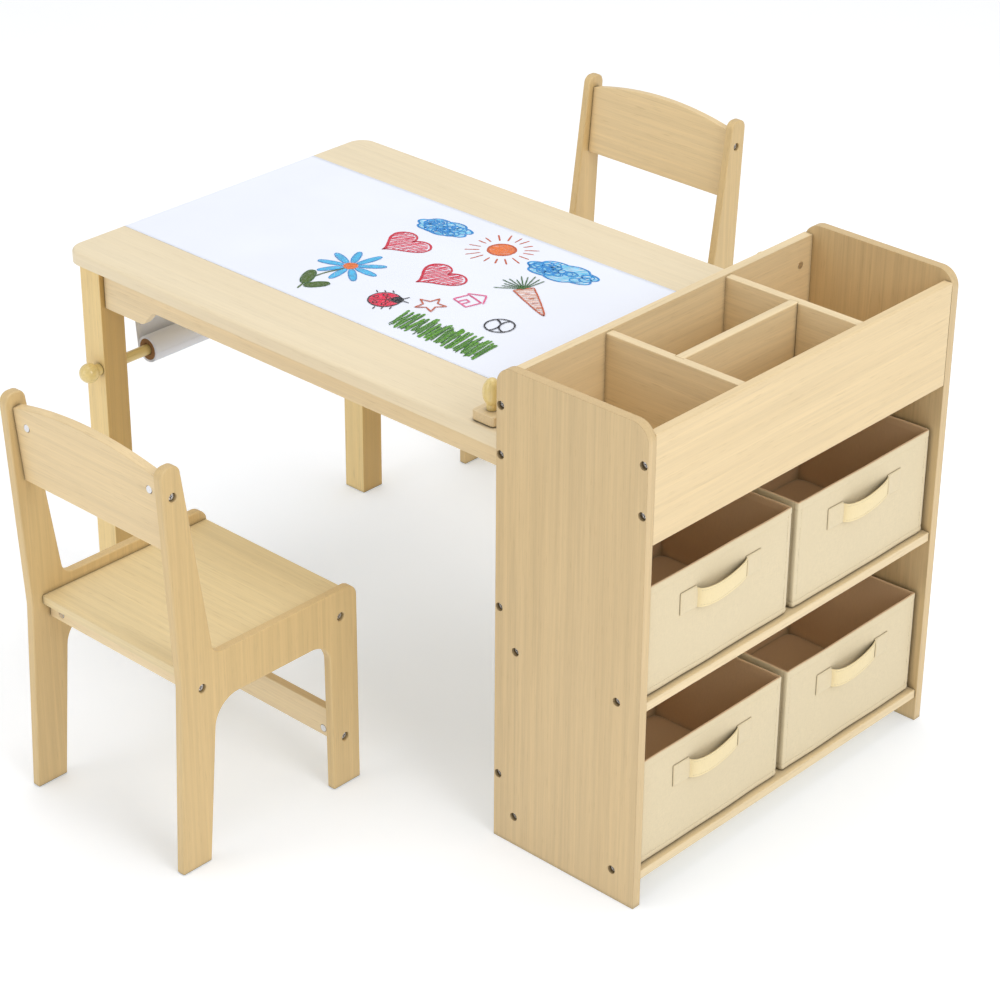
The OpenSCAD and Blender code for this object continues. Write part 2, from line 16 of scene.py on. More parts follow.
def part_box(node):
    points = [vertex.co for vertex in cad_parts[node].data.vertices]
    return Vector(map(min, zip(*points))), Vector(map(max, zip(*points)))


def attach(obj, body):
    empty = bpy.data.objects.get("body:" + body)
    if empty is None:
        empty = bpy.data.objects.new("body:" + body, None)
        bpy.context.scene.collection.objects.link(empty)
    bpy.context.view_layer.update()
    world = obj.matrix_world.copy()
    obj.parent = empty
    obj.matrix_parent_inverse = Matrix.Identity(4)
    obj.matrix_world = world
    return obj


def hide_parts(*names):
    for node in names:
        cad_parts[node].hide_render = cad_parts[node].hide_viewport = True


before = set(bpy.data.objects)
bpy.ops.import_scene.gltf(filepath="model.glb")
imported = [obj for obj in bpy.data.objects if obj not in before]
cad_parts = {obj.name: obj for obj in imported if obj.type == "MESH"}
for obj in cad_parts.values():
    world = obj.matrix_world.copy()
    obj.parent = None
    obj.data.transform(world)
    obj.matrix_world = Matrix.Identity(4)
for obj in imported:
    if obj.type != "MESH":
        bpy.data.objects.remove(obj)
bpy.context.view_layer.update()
MM = 0.001

# ---- colours


def srgb(red, green, blue):
    """A colour given as 0 to 255, in the linear values that the shaders use."""
    def linear(value):
        value /= 255
        return value / 12.92 if value <= 0.04045 else ((value + 0.055) / 1.055) ** 2.4
    return (linear(red), linear(green), linear(blue), 1.0)


def shade(colour, factor):
    return tuple(channel * factor for channel in colour[:3]) + (1.0,)


MAPLE = srgb(236, 214, 172)
MAPLE_TOP = srgb(237, 221, 188)
MAPLE_FRONT = srgb(231, 206, 160)
MAPLE_SIDE = srgb(215, 188, 141)
MAPLE_LEG = srgb(238, 209, 144)
# painted shade: the darker tone of the legs' faces across X, in the table's shadow
MAPLE_LEG_SHADED_SIDE = srgb(204, 168, 100)
MAPLE_EDGE = srgb(214, 184, 132)
CHAIR_SIDE = srgb(217, 188, 134)
CHAIR_SEAT = srgb(230, 209, 161)
CHAIR_BACK = srgb(232, 206, 158)
TURNED = srgb(232, 207, 136)
PAPER = srgb(238, 242, 253)
CARD = srgb(140, 104, 68)
STEEL = srgb(222, 222, 224)
CANVAS = srgb(225, 209, 174)
LINING = srgb(218, 186, 146)
STRAP = srgb(240, 221, 174)
# the dark olive of the painted shade in the fabric's gaps, such as behind the handle strap
PAINTED_GAP_SHADE = srgb(96, 84, 40)
THREAD = srgb(222, 206, 170)

# the floor's glow, painted light: the weaker, bluer glow near the pieces paints their shadows on the floor
FLOOR_GLOW_NEAR = (0.180, 0.225, 0.265, 1.0)
FLOOR_GLOW_FAR = (0.25, 0.26, 0.26, 1.0)

# ---- materials


class Graph:
    """A material's node tree, built up with a few short calls."""

    def __init__(self, name):
        self.material = bpy.data.materials.new(name)
        self.material.use_nodes = True
        self.nodes = self.material.node_tree.nodes
        self.links = self.material.node_tree.links
        self.shader = self.nodes["Principled BSDF"]
        self.coordinates = self.nodes.new("ShaderNodeTexCoord")
        self.place = self.coordinates.outputs["Object"]

    def put(self, socket, value):
        if isinstance(value, bpy.types.NodeSocket):
            self.links.new(value, socket)
        else:
            socket.default_value = value

    def set(self, **values):
        """Sets or links the shader's own sockets; _ stands for a space."""
        for key, value in values.items():
            self.put(self.shader.inputs[key.replace("_", " ")], value)

    def moved(self, scale, offset=(0, 0, 0)):
        node = self.nodes.new("ShaderNodeMapping")
        self.put(node.inputs["Vector"], self.place)
        node.inputs["Scale"].default_value = scale
        node.inputs["Location"].default_value = offset
        return node.outputs["Vector"]

    def noise(self, scale, offset=(0, 0, 0), detail=3.0, roughness=0.55, distortion=0.0):
        node = self.nodes.new("ShaderNodeTexNoise")
        self.put(node.inputs["Vector"], self.moved(scale, offset))
        node.inputs["Scale"].default_value = 1.0
        node.inputs["Detail"].default_value = detail
        node.inputs["Roughness"].default_value = roughness
        node.inputs["Distortion"].default_value = distortion
        return node.outputs["Fac"]

    def span(self, value, low, high, to_low=0.0, to_high=1.0):
        node = self.nodes.new("ShaderNodeMapRange")
        for key, number in (("From Min", low), ("From Max", high), ("To Min", to_low), ("To Max", to_high)):
            node.inputs[key].default_value = number
        self.put(node.inputs["Value"], value)
        return node.outputs["Result"]

    def math(self, operation, a, b=0.0):
        node = self.nodes.new("ShaderNodeMath")
        node.operation = operation
        self.put(node.inputs[0], a)
        self.put(node.inputs[1], b)
        return node.outputs[0]

    def times(self, a, b):
        return self.math("MULTIPLY", a, b)

    def plus(self, a, b):
        return self.math("ADD", a, b)

    def mix(self, factor, a, b):
        node = self.nodes.new("ShaderNodeMix")
        node.data_type = "RGBA"
        self.put(node.inputs[0], factor)
        self.put(node.inputs[6], a)
        self.put(node.inputs[7], b)
        return node.outputs[2]

    def bump(self, height, distance, strength=1.0, normal=None):
        node = self.nodes.new("ShaderNodeBump")
        node.inputs["Strength"].default_value = strength
        node.inputs["Distance"].default_value = distance
        self.put(node.inputs["Height"], height)
        if normal:
            self.put(node.inputs["Normal"], normal)
        self.put(self.shader.inputs["Normal"], node.outputs["Normal"])

    def open_air(self, distance, samples=6):
        """1 where nothing is near the surface, towards 0 in corners, holes and gaps."""
        node = self.nodes.new("ShaderNodeAmbientOcclusion")
        node.samples = samples
        node.inputs["Distance"].default_value = distance
        return node.outputs["AO"]

    def rounded(self, radius, samples=4):
        """The surface's normal with its sharp edges rounded."""
        node = self.nodes.new("ShaderNodeBevel")
        node.samples = samples
        node.inputs["Radius"].default_value = radius
        return node.outputs["Normal"]

    def edges(self, rounded):
        """1 along sharp edges, 0 on flat faces."""
        real = self.nodes.new("ShaderNodeNewGeometry")
        dot = self.nodes.new("ShaderNodeVectorMath")
        dot.operation = "DOT_PRODUCT"
        self.put(dot.inputs[0], rounded)
        self.put(dot.inputs[1], real.outputs["Normal"])
        return self.span(dot.outputs["Value"], 0.99, 0.85)

    def facing(self, axis):
        """How squarely the surface faces along an axis of the piece, 0 to 1."""
        node = self.nodes.new("ShaderNodeSeparateXYZ")
        self.put(node.inputs[0], self.coordinates.outputs["Normal"])
        return self.math("ABSOLUTE", node.outputs[axis])


def along(axis, lengthwise, across):
    """Texture scale of streaks that run along an axis: cycles a metre lengthwise and across."""
    return tuple(lengthwise if i == axis else across for i in range(3))


def wood(name, axis, tone, seed, grain=1.0, shaded_side_tone=None, round_edges=False):
    """Pale maple board: streaks along an axis, flecks, slow bands, end grain and worn edges, with painted
    shade in corners, joints and holes, and a darker painted shaded tone on the faces across X when one is
    given.
    """
    graph = Graph(name)
    offset = (seed * 3.1, seed * 1.7, seed * 2.3)
    fine = graph.span(graph.noise(along(axis, 9, 540), offset, 4, 0.6), 0.3, 0.7)
    long = graph.span(graph.noise(along(axis, 2.6, 150), offset, 3, 0.55, 0.4), 0.32, 0.68)
    bands = graph.span(graph.noise(along(axis, 0.7, 16), offset, 2), 0.35, 0.65)
    flecks = graph.span(graph.noise(along(axis, 34, 620), offset, 2), 0.60, 0.74)
    streaks = graph.plus(graph.times(fine, 0.45), graph.times(long, 0.55))
    colour = graph.mix(streaks, shade(tone, 1 - 0.13 * grain), shade(tone, 1 + 0.06 * grain))
    colour = graph.mix(graph.times(bands, 0.15 * grain), colour, MAPLE_EDGE)
    colour = graph.mix(graph.times(flecks, 0.30 * grain), colour, shade(MAPLE_EDGE, 0.70))
    # painted shade: faces across X take the darker shaded tone
    if shaded_side_tone:
        colour = graph.mix(graph.span(graph.facing(ALONG_X), 0.6, 0.8), colour,
                           graph.mix(streaks, shade(shaded_side_tone, 0.88), shade(shaded_side_tone, 1.06)))
    pores = graph.span(graph.noise((900, 900, 900), offset, 2), 0.45, 0.7)
    end = graph.mix(pores, shade(MAPLE_EDGE, 0.95), shade(MAPLE_EDGE, 0.72))
    colour = graph.mix(graph.times(graph.span(graph.facing(axis), 0.72, 0.9), 0.55), colour, end)
    rounded = graph.rounded(1.4 * MM)
    wear = graph.times(graph.edges(rounded), graph.span(long, 0.0, 1.0, 0.25, 0.6))
    colour = graph.mix(wear, colour, shade(MAPLE_EDGE, 1.12))
    # painted shade: dark brown where the board is hemmed in, in corners, joints and bolt holes
    painted_crevice_shade = graph.span(graph.open_air(9 * MM), 0.15, 0.8, 0.75, 0.0)
    colour = graph.mix(painted_crevice_shade, colour, shade(MAPLE_EDGE, 0.10))
    graph.set(Base_Color=colour, Roughness=graph.span(fine, 0.0, 1.0, 0.40, 0.52), Coat_Weight=0.12,
              Coat_Roughness=0.28)
    graph.bump(graph.math("SUBTRACT", graph.times(streaks, 0.5), flecks), 0.00014, 0.6,
               rounded if round_edges else None)
    return graph.material


def turned_wood(name, axis, seed):
    """Lacquered lathe-turned maple: streaks along the axis and very fine rings round it, with painted shade
    where it is hemmed in.
    """
    graph = Graph(name)
    offset = (seed * 1.3, seed * 2.9, seed * 0.7)
    streaks = graph.span(graph.noise(along(axis, 20, 420), offset, 4, 0.6), 0.3, 0.7)
    rings = graph.noise(along(axis, 1400, 8), offset, 1)
    colour = graph.mix(streaks, shade(TURNED, 0.90), shade(TURNED, 1.04))
    # painted shade: dark brown where the turned piece is hemmed in, as where it meets the board it sits in
    painted_crevice_shade = graph.span(graph.open_air(9 * MM), 0.1, 0.85, 0.8, 0.0)
    colour = graph.mix(painted_crevice_shade, colour, shade(MAPLE_EDGE, 0.10))
    graph.set(Base_Color=colour, Roughness=graph.span(streaks, 0, 1, 0.26, 0.36), Coat_Weight=0.6,
              Coat_Roughness=0.12)
    graph.bump(graph.plus(graph.times(rings, 0.6), streaks), 0.00004, 0.5)
    return graph.material


def steel(name):
    """Zinc-plated steel: mottled, with fine scratches, and with painted shade, near black, where it lies
    deep in its hole.
    """
    graph = Graph(name)
    mottle = graph.noise((260, 260, 260), detail=3)
    scratches = graph.span(graph.noise((60, 2400, 2400), detail=2), 0.55, 0.75)
    colour = graph.mix(mottle, shade(STEEL, 0.85), shade(STEEL, 1.15))
    # painted shade: near black where the head is hemmed in by the walls of its hole
    clear = graph.span(graph.open_air(4 * MM), 0.22, 0.60)
    graph.set(Base_Color=graph.mix(clear, shade(STEEL, 0.05), colour), Metallic=1.0,
              Roughness=graph.span(mottle, 0.3, 0.7, 0.22, 0.38))
    graph.bump(scratches, 0.00003, 0.4)
    return graph.material


def paper(name):
    """Smooth drawing paper with faint fibres."""
    graph = Graph(name)
    fibres = graph.noise((700, 700, 700), detail=5, roughness=0.7)
    clouds = graph.noise((9, 9, 9), detail=2)
    graph.set(Base_Color=graph.mix(graph.span(clouds, 0.3, 0.7), shade(PAPER, 0.97), PAPER),
              Roughness=graph.span(fibres, 0.3, 0.7, 0.74, 0.88), Specular_IOR_Level=0.25)
    graph.bump(fibres, 0.00004, 0.4)
    return graph.material


def card(name):
    """Grey-brown board with fibres."""
    graph = Graph(name)
    fibres = graph.noise((420, 60, 420), detail=4, roughness=0.7)
    specks = graph.span(graph.noise((1500, 1500, 1500), detail=1), 0.6, 0.72)
    colour = graph.mix(graph.span(fibres, 0.3, 0.7), shade(CARD, 0.8), shade(CARD, 1.1))
    graph.set(Base_Color=graph.mix(graph.times(specks, 0.4), colour, shade(CARD, 0.5)),
              Roughness=graph.span(fibres, 0.3, 0.7, 0.75, 0.9), Specular_IOR_Level=0.2)
    graph.bump(fibres, 0.00008, 0.6)
    return graph.material


def canvas(name, tone, seed=0.0):
    """Matt felted canvas: crossed fibres, a fine weave and slow blotches, with painted shade in its gaps."""
    graph = Graph(name)
    offset = (seed, seed * 0.6, seed * 1.9)
    weft = graph.noise((1500, 150, 1500), offset, 2)
    warp = graph.noise((1500, 1500, 150), offset, 2)
    fibres = graph.times(graph.plus(weft, warp), 0.5)
    fuzz = graph.noise((520, 520, 520), offset, 5, 0.75)
    blotches = graph.noise((16, 16, 16), offset, 2)
    colour = graph.mix(graph.span(fibres, 0.38, 0.62), shade(tone, 0.93), shade(tone, 1.03))
    blotches = graph.times(graph.span(blotches, 0.35, 0.65), 0.5)
    colour = graph.mix(blotches, colour, shade(tone, 0.96))
    # painted shade: dark olive where the fabric is hemmed in, behind the handle strap and in corners
    gaps = graph.span(graph.open_air(14 * MM), 0.20, 0.75, 0.60, 0.0)
    colour = graph.mix(gaps, colour, PAINTED_GAP_SHADE)
    graph.set(Base_Color=colour, Roughness=graph.span(fuzz, 0.3, 0.7, 0.82, 0.95),
              Specular_IOR_Level=0.18, Sheen_Weight=0.25, Sheen_Roughness=0.5)
    graph.bump(graph.plus(fibres, graph.times(fuzz, 0.7)), 0.00022, 0.55)
    return graph.material


def crayon(name, colour):
    """Waxy crayon that lets the paper show through in specks."""
    graph = Graph(name)
    gaps = graph.span(graph.noise((900, 900, 900), detail=3, roughness=0.6), 0.52, 0.66)
    pressure = graph.noise((120, 120, 120), detail=2)
    tone = graph.mix(graph.span(pressure, 0.3, 0.7), shade(colour, 0.85), shade(colour, 1.1))
    graph.set(Base_Color=graph.mix(graph.times(gaps, 0.34), tone, PAPER),
              Roughness=graph.span(pressure, 0.3, 0.7, 0.5, 0.7), Specular_IOR_Level=0.3)
    graph.bump(gaps, 0.00004, 0.6)
    return graph.material


def plain_floor(name):
    """White studio floor, lit a little from within so that it blends into the background; the glow is weaker
    and bluer near the pieces, which paints their shadows on the floor.
    """
    graph = Graph(name)
    grain = graph.noise((30, 30, 30), detail=4)
    # painted shadow: the floor glows less near the pieces, under and beside them
    clear = graph.span(graph.open_air(0.9, 5), 0.45, 1.0)
    glow = graph.mix(clear, FLOOR_GLOW_NEAR, FLOOR_GLOW_FAR)
    graph.set(Base_Color=graph.mix(grain, (0.89, 0.89, 0.91, 1), (0.92, 0.92, 0.94, 1)), Roughness=0.9,
              Specular_IOR_Level=0.1, Emission_Color=glow, Emission_Strength=1.0)
    return graph.material


# ---- CAD nodes: softened edges

ALONG_X, ALONG_Y, ALONG_Z = 0, 1, 2
BOARDS = {
    ALONG_X: ["tabletop", "apron_front", "apron_back", "divider_front", "divider_back",
              "front_chair_seat", "front_chair_backrest", "front_chair_seat_rails", "front_chair_stretcher",
              "back_chair_seat", "back_chair_backrest", "back_chair_seat_rails", "back_chair_stretcher"],
    ALONG_Y: ["end_rail", "back_board", "back_rail_upper", "back_rail_lower", "front_fascia", "tray_floor",
              "divider_long", "shelf_middle", "shelf_bottom", "clamp_bar"],
    ALONG_Z: ["leg_front", "leg_back", "side_panel_front", "side_panel_back", "front_chair_left_side",
              "front_chair_right_side", "back_chair_left_side", "back_chair_right_side"],
}
TURNED_NODES = {ALONG_X: ["table_dowels"], ALONG_Y: ["roll_rod", "roll_knobs"],
                ALONG_Z: ["clamp_knob_front", "clamp_knob_back"]}
METAL_NODES = ["shelf_bolts", "barrel_nuts", "joining_bolts", "clamp_inserts", "clamp_bolt_front",
               "clamp_bolt_back", "front_chair_bolts", "back_chair_bolts"]
BOARD_EDGE = 1.3 * MM
CHAIR_EDGE = 2.0 * MM


def coat(node, material):
    node.data.materials.clear()
    node.data.materials.append(material)


def soften(node, width, segments=3):
    """Rounds a CAD node's sharp edges with modifiers; its own mesh stays as it is."""
    mesh = node.data
    if "custom_normal" in mesh.attributes:
        mesh.attributes.remove(mesh.attributes["custom_normal"])
    for polygon in mesh.polygons:
        polygon.use_smooth = True
    weld = node.modifiers.new("weld", "WELD")
    weld.merge_threshold = 0.00001
    bevel = node.modifiers.new("bevel", "BEVEL")
    bevel.width = width
    bevel.segments = segments
    bevel.limit_method = "ANGLE"
    bevel.angle_limit = math.radians(35)
    bevel.use_clamp_overlap = False
    bevel.loop_slide = False
    normals = node.modifiers.new("normals", "WEIGHTED_NORMAL")
    normals.keep_sharp = True


# the material rounds these boards' edges; a bevel folded over itself beside the side panels' holes
SHADED_EDGES = ("side_panel_front", "side_panel_back", "back_board")


def finish_nodes():
    tones = {"tabletop": MAPLE_TOP, "front_fascia": MAPLE_FRONT, "side_panel_front": MAPLE_SIDE,
             "side_panel_back": MAPLE_SIDE, "leg_front": MAPLE_LEG, "leg_back": MAPLE_LEG}
    for chair in ("front_chair", "back_chair"):
        tones |= {chair + "_left_side": CHAIR_SIDE, chair + "_right_side": CHAIR_SIDE,
                  chair + "_seat": CHAIR_SEAT, chair + "_backrest": CHAIR_BACK}
    grains = {"tabletop": 0.55, "side_panel_front": 1.35, "side_panel_back": 1.35, "front_fascia": 0.9}
    seed = 0
    for axis, names in BOARDS.items():
        for name in names:
            seed += 1
            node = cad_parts[name]
            # the legs get a painted shaded tone on their faces across X
            coat(node, wood("maple_" + name, axis, tones.get(name, MAPLE), seed, grains.get(name, 1.1),
                            MAPLE_LEG_SHADED_SIDE if name in ("leg_front", "leg_back") else None,
                            name in SHADED_EDGES))
            if name not in SHADED_EDGES:
                soften(node, CHAIR_EDGE if "chair" in name and "side" in name else BOARD_EDGE)
    for axis, names in TURNED_NODES.items():
        for name in names:
            seed += 1
            coat(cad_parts[name], turned_wood("turned_" + name, axis, seed))
            soften(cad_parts[name], 0.3 * MM, 2)
    plated = steel("zinc_plated_steel")
    for name in METAL_NODES:
        coat(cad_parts[name], plated)
        soften(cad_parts[name], 0.2 * MM, 2)
    coat(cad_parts["roll_core"], card("roll_core_card"))
    soften(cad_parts["roll_core"], 0.3 * MM, 2)


# ---- mesh helpers


def piece(name, verts, faces, materials, face_slots=None):
    mesh = bpy.data.meshes.new(name)
    mesh.from_pydata([tuple(v) for v in verts], [], faces)
    for material in materials:
        mesh.materials.append(material)
    if face_slots:
        mesh.polygons.foreach_set("material_index", face_slots)
    mesh.polygons.foreach_set("use_smooth", [True] * len(faces))
    mesh.validate()
    mesh.update()
    obj = bpy.data.objects.new(name, mesh)
    bpy.context.scene.collection.objects.link(obj)
    return obj


def lofted(rows, closed=False):
    """Faces between rows of equally many points; closed joins each row's ends."""
    width = len(rows[0])
    faces = []
    for r in range(len(rows) - 1):
        for c in range(width if closed else width - 1):
            d = (c + 1) % width
            faces.append((r * width + c, r * width + d, (r + 1) * width + d, (r + 1) * width + c))
    return [p for row in rows for p in row], faces


def thicken(obj, thickness, offset):
    modifier = obj.modifiers.new("thickness", "SOLIDIFY")
    modifier.thickness = thickness
    modifier.offset = offset


def bell(distance, spread):
    return math.exp(-(distance / spread) ** 2)


# ---- paper: sheet and roll

CORE_R = 14.6 * MM
WOUND_TURNS = 11

def paper_path(top_low, top_high, sheet_high, roll_centre, roll_r):
    """The sheet's way as (x, z): flat over the top, round its end and down to the roll."""
    lift = 0.10 * MM
    edge = 5 * MM
    end, top = top_low.x, top_high.z
    curl = 14 * MM
    points = []
    start = sheet_high.x
    flat_steps = 150
    for i in range(flat_steps + 1):
        x = start + (end + edge - start) * i / flat_steps
        rise = 1.6 * MM * max(0.0, (x - start + curl) / curl) ** 2
        points.append((x, top + lift + rise))
    for i in range(1, 13):
        a = math.radians(90 + 90 * i / 12)
        points.append((end + edge + (edge + lift) * math.cos(a), top - edge + (edge + lift) * math.sin(a)))
    drop = (end - lift, top_low.z - 0.5 * MM)
    points.append(drop)
    # straight to the point where it touches the roll, then a little way round it
    reach = roll_r + 0.15 * MM
    dx, dz = roll_centre[0] - drop[0], roll_centre[1] - drop[1]
    distance = math.hypot(dx, dz)
    touch = math.atan2(-dz, -dx) + math.acos(reach / distance)
    tangent = (roll_centre[0] + reach * math.cos(touch), roll_centre[1] + reach * math.sin(touch))
    for i in range(1, 31):
        t = i / 30
        sag = 1.2 * MM * math.sin(math.pi * t)
        points.append((drop[0] + (tangent[0] - drop[0]) * t + sag, drop[1] + (tangent[1] - drop[1]) * t))
    for i in range(1, 7):
        a = touch + math.radians(7 * i)
        points.append((roll_centre[0] + reach * math.cos(a), roll_centre[1] + reach * math.sin(a)))
    return points


def make_paper():
    top_low, top_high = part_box("tabletop")
    sheet_low, sheet_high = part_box("paper_sheet")
    roll_low, roll_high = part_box("paper_roll")
    centre = ((roll_low.x + roll_high.x) / 2, (roll_low.z + roll_high.z) / 2)
    roll_r = (roll_high.x - roll_low.x) / 2
    path = paper_path(top_low, top_high, sheet_high, centre, roll_r)
    length = sum(math.dist(a, b) for a, b in zip(path, path[1:]))
    width = sheet_high.y - sheet_low.y
    across = 44
    rows = []
    for x, z in path:
        row = []
        on_top = z > top_high.z
        sway = 0.0 if z > top_high.z - 6 * MM else 1.0
        for j in range(across + 1):
            y = sheet_low.y + width * j / across
            side = abs(2 * j / across - 1)
            ripple = 0.09 * MM * (1 + noise.noise(Vector((x * 14, y * 9, 2.0)))) * (0.3 + side ** 2)
            row.append((x, y, z + ripple) if on_top else (x - ripple * sway, y, z))
        rows.append(row)
    verts, faces = lofted(rows)
    sheet = piece("drawing_paper", verts, faces, [paper("drawing_paper_stock")])
    thicken(sheet, 0.1 * MM, 0)
    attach(sheet, "table")
    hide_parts("paper_sheet")

    # the wound roll: one long strip in a spiral, with its layers showing at the ends
    core_r, turns, steps = CORE_R, WOUND_TURNS, 56
    layer = (roll_r - core_r) / turns
    outer, inner = [], []
    rng = random.Random(3)
    shift = [rng.uniform(-0.35, 0.35) * MM for _ in range(turns + 2)]
    for i in range(turns * steps + 1):
        a = 2 * math.pi * i / steps
        r = core_r + layer * i / steps
        weave = shift[i // steps] * (1 - (i % steps) / steps) + shift[i // steps + 1] * (i % steps) / steps
        direction = (math.cos(a), math.sin(a))
        outer.append((r, direction, weave))
        inner.append((r - layer * 0.72, direction, weave))
    rows = []
    y_marks = [0.0, 0.004, 0.25, 0.5, 0.75, 0.996, 1.0]
    for r, direction, weave in outer + inner[::-1]:
        rows.append([(centre[0] + r * direction[0], roll_low.y + 0.4 * MM + weave + (width - 0.8 * MM) * m,
                      centre[1] + r * direction[1]) for m in y_marks])
    rows.append(rows[0])
    verts, faces = lofted(rows)
    # close both ends, layer by layer
    row_width, count = len(y_marks), len(outer)
    for i in range(count - 1):
        a, b = i * row_width, (i + 1) * row_width
        c, d = (2 * count - 2 - i) * row_width, (2 * count - 1 - i) * row_width
        faces.append((a, b, c, d))
        last = row_width - 1
        faces.append((d + last, c + last, b + last, a + last))
    roll = piece("paper_roll_wound", verts, faces, [paper("roll_paper_stock")])
    bpy.context.view_layer.update()
    smooth_by_angle(roll, 40)
    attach(roll, "paper_supply")
    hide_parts("paper_roll")
    return sheet, length, width, top_high.z + 0.3 * MM


def smooth_by_angle(obj, degrees):
    """Marks the edges sharper than an angle, so that only soft ones are shaded smooth."""
    mesh = bmesh.new()
    mesh.from_mesh(obj.data)
    bmesh.ops.recalc_face_normals(mesh, faces=mesh.faces)
    for edge in mesh.edges:
        edge.smooth = not (len(edge.link_faces) == 2 and edge.calc_face_angle(0) > math.radians(degrees))
    for face in mesh.faces:
        face.smooth = True
    mesh.to_mesh(obj.data)
    mesh.free()


# ---- the drawing


def ring(radius, count, squash=1.0, centre=(0, 0)):
    return [(centre[0] + radius * math.cos(2 * math.pi * i / count),
             centre[1] + squash * radius * math.sin(2 * math.pi * i / count)) for i in range(count + 1)]


def arc(radius, start, end, centre=(0, 0)):
    angles = [math.radians(start + (end - start) * i / 12) for i in range(13)]
    return [(centre[0] + radius * math.cos(a), centre[1] + radius * math.sin(a)) for a in angles]


def heart(width, height):
    points = []
    for i in range(49):
        a = 2 * math.pi * i / 48
        points.append((width * math.sin(a) ** 3, height / 16 * (13 * math.cos(a) - 5 * math.cos(2 * a)
                                                               - 2 * math.cos(3 * a) - math.cos(4 * a))))
    return points


def leaf(length, width):
    """A pointed leaf or petal from the origin along +X."""
    half = [(length * (1 - math.cos(math.pi * i / 12)) / 2, width / 2 * math.sin(math.pi * i / 12) ** 0.8)
            for i in range(13)]
    return half + [(x, -y) for x, y in reversed(half)]


def lumpy(length, height):
    """A cloud's outline: a long oval with round lumps."""
    points = []
    for i in range(97):
        a = 2 * math.pi * i / 96
        r = 0.86 + 0.16 * abs(math.sin(a * 3.5 + 0.4))
        points.append((length / 2 * r * math.cos(a), height / 2 * r * math.sin(a)))
    return points


def shifted(shape, x, y, angle=0.0):
    c, s = math.cos(math.radians(angle)), math.sin(math.radians(angle))
    return [(x + px * c - py * s, y + px * s + py * c) for px, py in shape]


def hatch(shape, spacing, angle, rng, inset=0.5):
    """Strokes side by side that fill a closed shape, at an angle to the X axis."""
    turned = shifted(shape, 0, 0, -angle)
    level = min(v for _, v in turned) + spacing / 2
    top = max(v for _, v in turned)
    strokes = []
    while level < top:
        sides = zip(turned, turned[1:] + turned[:1])
        cuts = sorted(a[0] + (b[0] - a[0]) * (level - a[1]) / (b[1] - a[1])
                      for a, b in sides if (a[1] > level) != (b[1] > level))
        for start, end in zip(cuts[::2], cuts[1::2]):
            if end - start > 2 * inset:
                slant = rng.uniform(-0.3, 0.3) * spacing
                stroke = [(start + inset, level - slant), (end - inset, level + slant)]
                strokes.append(shifted(stroke, 0, 0, angle))
        level += spacing * rng.uniform(0.85, 1.15)
    return strokes


def loops(length, height, rng):
    """Small overlapping rings inside a cloud."""
    strokes = []
    for _ in range(30):
        a, r = rng.uniform(0, 2 * math.pi), math.sqrt(rng.uniform(0, 0.75))
        centre = (length / 2 * r * math.cos(a), height / 2 * r * math.sin(a))
        strokes.append(ring(rng.uniform(5.0, 8.5), 16, 0.8, centre))
    return strokes


def blades(length, height, lean, count, rng):
    """Grass: leaning strokes side by side from the origin along +X."""
    strokes = []
    for i in range(count):
        x = length * i / (count - 1)
        strokes.append([(x + rng.uniform(-2, 2), rng.uniform(-7, 5)),
                        (x + lean + rng.uniform(-4, 4), height + rng.uniform(-9, 8))])
    return strokes


COLUMN, ROW = 100, 55  # the doodles' layout over the paper, in mm: from the shelf unit, and from the middle
FIRST_COLUMN = -200


def star(radius, points=5):
    turns = [(radius if i % 2 == 0 else radius * 0.45, math.pi * i / points) for i in range(2 * points + 1)]
    return [(r * math.sin(a), r * math.cos(a)) for r, a in turns]


def tapered(length, width):
    """A root's outline along +X: blunt at the origin and pointed at its far end."""
    half = [(length * i / 12, width / 2 * (1 - i / 12) ** 0.7) for i in range(13)]
    return half + [(x, -y) for x, y in reversed(half)] + half[:1]


